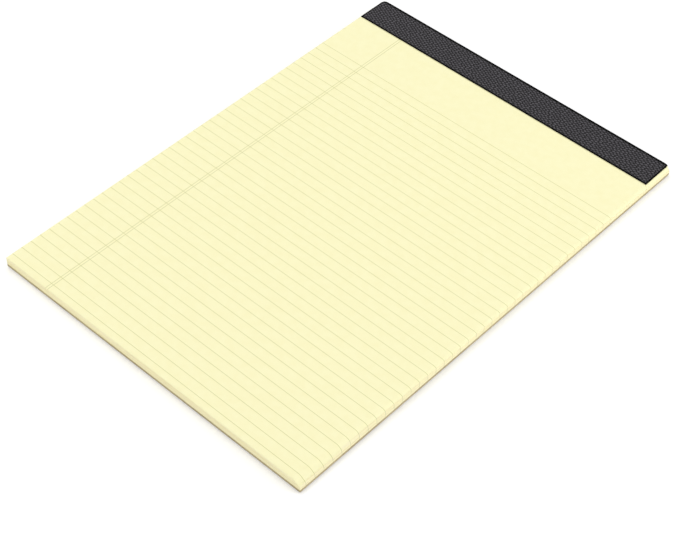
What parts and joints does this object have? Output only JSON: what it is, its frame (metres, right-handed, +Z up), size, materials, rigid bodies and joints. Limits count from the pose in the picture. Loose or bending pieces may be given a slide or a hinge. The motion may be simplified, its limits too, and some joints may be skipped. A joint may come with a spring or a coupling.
{
  "type": "legal pad",
  "caption": "Letter-size legal pad: ruled, perforated canary sheets on a heavy chipboard back, wire-stitched and bound at the head by a folded black leatherette strip.",
  "frame": {"origin": "centre of the pad's outline, on the surface that the pad lies on", "axes": "+X across the sheets from the left edge to the right as they are read, +Y from the foot to the bound head, +Z up out of the written face"},
  "size_m": [0.216, 0.302, 0.0072],
  "materials": {
    "canary_paper": "uncoated canary writing paper, printed with pale grey rules and a double margin line",
    "chipboard": "uncoated grey-brown chipboard with cut edges",
    "leatherette": "black embossed leatherette with a fine pebble grain and a low sheen",
    "stitch_wire": "galvanised steel stitching wire"
  },
  "bodies": {
    "root": {"sheet_block": "canary_paper", "backing_board": "chipboard", "binding_strip": "leatherette", "wire_stitch_1": "stitch_wire", "wire_stitch_2": "stitch_wire", "wire_stitch_3": "stitch_wire", "wire_stitch_4": "stitch_wire"}
  },
  "joints": []
}
